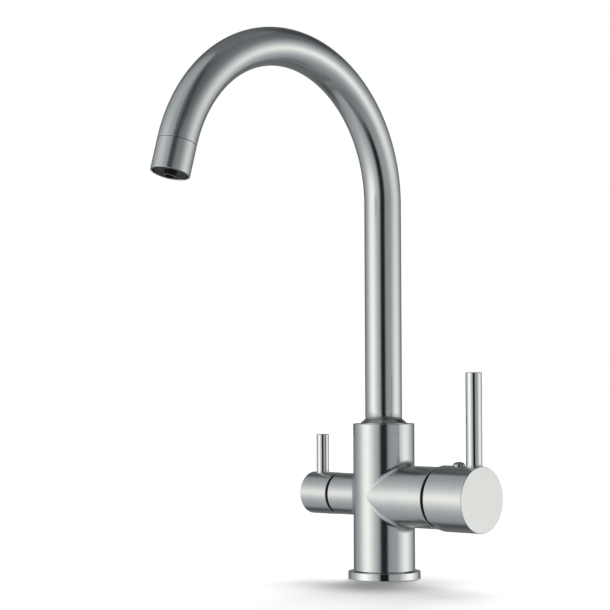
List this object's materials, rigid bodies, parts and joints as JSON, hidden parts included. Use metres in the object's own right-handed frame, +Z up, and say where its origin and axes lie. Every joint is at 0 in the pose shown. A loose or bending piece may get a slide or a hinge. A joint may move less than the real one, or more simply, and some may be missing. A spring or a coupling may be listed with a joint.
{
  "type": "three way kitchen tap",
  "caption": "Kitchen tap with a swivelling arched spout, a side lever that mixes hot and cold water, and a smaller lever opposite for filtered water.",
  "frame": {"origin": "centre of the base's underside, on the worktop", "axes": "+Z up along the column, -Y towards the user along the spout at rest, +X outward along the mixer handle, -X along the filtered-water handle"},
  "size_m": [0.1506, 0.2322, 0.363],
  "materials": {
    "satin_nickel": "satin brushed nickel, grain round each part",
    "polished_nickel": "polished nickel",
    "dark_nickel": "dark polished nickel",
    "brass": "turned, bare",
    "steel": "turned, bare",
    "black_plastic": "matt black",
    "white_plastic": "natural white",
    "ceramic": "ground ceramic",
    "rubber": "matt"
  },
  "bodies": {
    "tap_body": {"body_casting": "satin_nickel", "base_ring": "polished_nickel", "base_seal": "rubber", "spout_lock_screw": "steel", "mixer_base_gasket": "rubber", "mixer_cartridge_housing": "white_plastic", "mixer_fixed_disc": "ceramic", "mixer_cartridge_nut": "brass", "mixer_gap_ring": "black_plastic", "filter_valve_seal": "rubber", "filter_valve_body": "brass", "filter_fixed_disc": "ceramic", "filter_gap_ring": "black_plastic"},
    "spout": {"spout_tube": "satin_nickel", "spout_foot": "brass", "spout_cone_ring": "dark_nickel", "spout_bearing_lower": "white_plastic", "spout_bearing_upper": "white_plastic", "spout_o_ring_lower": "rubber", "spout_o_ring_upper": "rubber", "filter_spigot_o_ring": "rubber", "filter_tube_nipple": "brass", "filter_tube": "white_plastic", "spout_end_nipple": "brass", "aerator_collar": "satin_nickel", "aerator_gasket": "rubber", "aerator_insert": "black_plastic", "filter_nozzle": "black_plastic"},
    "mixer_turret": {"mixer_turret": "white_plastic", "mixer_pivot_pin": "steel"},
    "mixing_disc": {"mixer_moving_disc": "ceramic"},
    "mixer_handle": {"mixer_stem": "steel", "mixer_cap": "satin_nickel", "mixer_lever": "polished_nickel", "mixer_grub_screw": "steel", "mixer_cap_plug": "polished_nickel"},
    "filter_handle": {"filter_spindle": "brass", "filter_turning_disc": "ceramic", "filter_spindle_o_ring": "rubber", "filter_knob": "satin_nickel", "filter_lever": "polished_nickel", "filter_knob_screw": "steel"}
  },
  "joints": [
    {"name": "spout_swivel", "type": "hinge", "parent": "tap_body", "child": "spout", "pos_m": [0, 0, 0.09], "axis": [0, 0, 1], "continuous": true},
    {"name": "mixer_turn", "type": "hinge", "parent": "tap_body", "child": "mixer_turret", "pos_m": [0.034, 0, 0.0558], "axis": [1, 0, 0], "range_deg": [-50, 50]},
    {"name": "mixer_tip", "type": "hinge", "parent": "mixer_turret", "child": "mixer_handle", "pos_m": [0.034, 0, 0.0558], "axis": [0, 1, 0], "range_deg": [0, 20]},
    {"name": "disc_slide", "type": "slide", "parent": "mixer_turret", "child": "mixing_disc", "axis": [0, 0, 1], "range_m": [0, 0.0022]},
    {"name": "filter_turn", "type": "hinge", "parent": "tap_body", "child": "filter_handle", "pos_m": [-0.05, 0, 0.0558], "axis": [1, 0, 0], "range_deg": [0, 90]}
  ],
  "couplings": [
    {"joint": "disc_slide", "follows": "mixer_tip", "m_per_rad": 0.0061}
  ]
}
